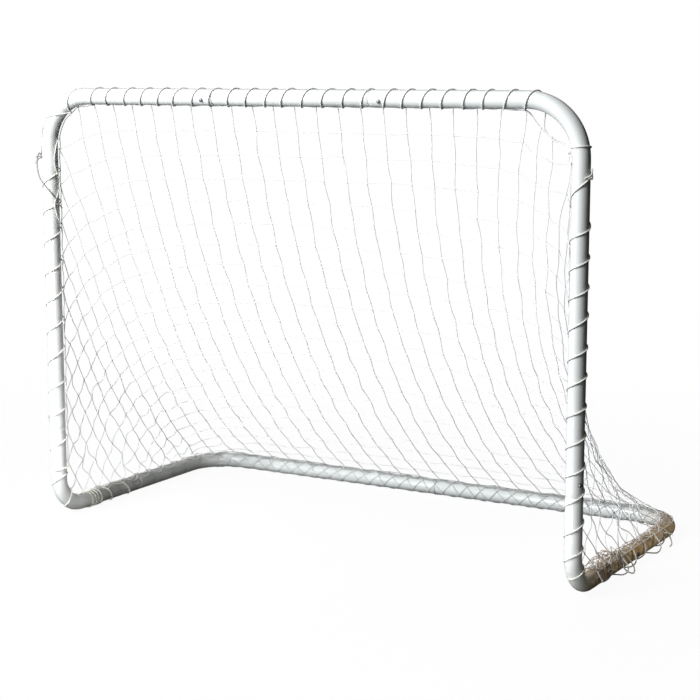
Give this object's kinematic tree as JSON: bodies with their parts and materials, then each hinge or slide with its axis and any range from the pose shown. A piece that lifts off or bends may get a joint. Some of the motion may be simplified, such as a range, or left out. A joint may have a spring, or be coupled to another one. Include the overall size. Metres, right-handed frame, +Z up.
{
  "type": "ice hockey goal net",
  "caption": "Free-standing practice hockey goal: white plug-together steel tube frame with snap buttons and a laced, knotted square-mesh net sloping to a rear ground bar.",
  "frame": {"origin": "on the ground, under the middle of the bounding box", "axes": "+X to the right along the crossbar, seen from in front of the mouth; +Y from the mouth to the rear bar; +Z up"},
  "size_m": [1.2114, 0.6072, 0.9024],
  "materials": {
    "painted_tube": "gloss white powder coat",
    "button_steel": "dull zinc",
    "spring_steel": "bright spring steel",
    "net_twine": "twisted white twine",
    "lacing_cord": "soft white braid"
  },
  "bodies": {
    "goal": {"crossbar_middle_tube": "painted_tube", "upper_corner_tube_left": "painted_tube", "upper_corner_tube_right": "painted_tube", "foot_bend_tube_left": "painted_tube", "foot_bend_tube_right": "painted_tube", "rear_corner_tube_left": "painted_tube", "rear_corner_tube_right": "painted_tube", "leaf_clip_crossbar_left": "spring_steel", "leaf_clip_crossbar_right": "spring_steel", "leaf_clip_post_left": "spring_steel", "leaf_clip_post_right": "spring_steel", "leaf_clip_rail_left": "spring_steel", "leaf_clip_rail_right": "spring_steel", "leaf_clip_rear": "spring_steel", "net_wing_left": "net_twine", "net_back": "net_twine", "net_wing_right": "net_twine", "left_post_lacing": "lacing_cord", "crossbar_lacing": "lacing_cord", "right_post_lacing": "lacing_cord", "left_rail_lacing": "lacing_cord", "right_rail_lacing": "lacing_cord", "left_post_knot": "lacing_cord", "crossbar_knot": "lacing_cord", "right_post_knot": "lacing_cord", "left_rail_knot": "lacing_cord", "right_rail_knot": "lacing_cord"},
    "button_crossbar_left": {"snap_button_crossbar_left": "button_steel"},
    "button_crossbar_right": {"snap_button_crossbar_right": "button_steel"},
    "button_post_left": {"snap_button_post_left": "button_steel"},
    "button_post_right": {"snap_button_post_right": "button_steel"},
    "button_rail_left": {"snap_button_rail_left": "button_steel"},
    "button_rail_right": {"snap_button_rail_right": "button_steel"},
    "button_rear": {"snap_button_rear": "button_steel"}
  },
  "joints": [
    {"name": "press_crossbar_left", "type": "slide", "parent": "goal", "child": "button_crossbar_left", "axis": [0, 0.9397, 0.342], "range_m": [0, 0.0048], "stiffness_N_per_m": 2500, "deforming": ["leaf_clip_crossbar_left"]},
    {"name": "press_crossbar_right", "type": "slide", "parent": "goal", "child": "button_crossbar_right", "axis": [0, 0.9397, 0.342], "range_m": [0, 0.0048], "stiffness_N_per_m": 2500, "deforming": ["leaf_clip_crossbar_right"]},
    {"name": "press_post_left", "type": "slide", "parent": "goal", "child": "button_post_left", "axis": [0.866, 0.5, 0], "range_m": [0, 0.0048], "stiffness_N_per_m": 2500, "deforming": ["leaf_clip_post_left"]},
    {"name": "press_post_right", "type": "slide", "parent": "goal", "child": "button_post_right", "axis": [-0.866, 0.5, 0], "range_m": [0, 0.0048], "stiffness_N_per_m": 2500, "deforming": ["leaf_clip_post_right"]},
    {"name": "press_rail_left", "type": "slide", "parent": "goal", "child": "button_rail_left", "axis": [1, 0, 0], "range_m": [0, 0.0048], "stiffness_N_per_m": 2500, "deforming": ["leaf_clip_rail_left"]},
    {"name": "press_rail_right", "type": "slide", "parent": "goal", "child": "button_rail_right", "axis": [-1, 0, 0], "range_m": [0, 0.0048], "stiffness_N_per_m": 2500, "deforming": ["leaf_clip_rail_right"]},
    {"name": "press_rear", "type": "slide", "parent": "goal", "child": "button_rear", "axis": [0, -1, 0], "range_m": [0, 0.0048], "stiffness_N_per_m": 2500, "deforming": ["leaf_clip_rear"]}
  ]
}
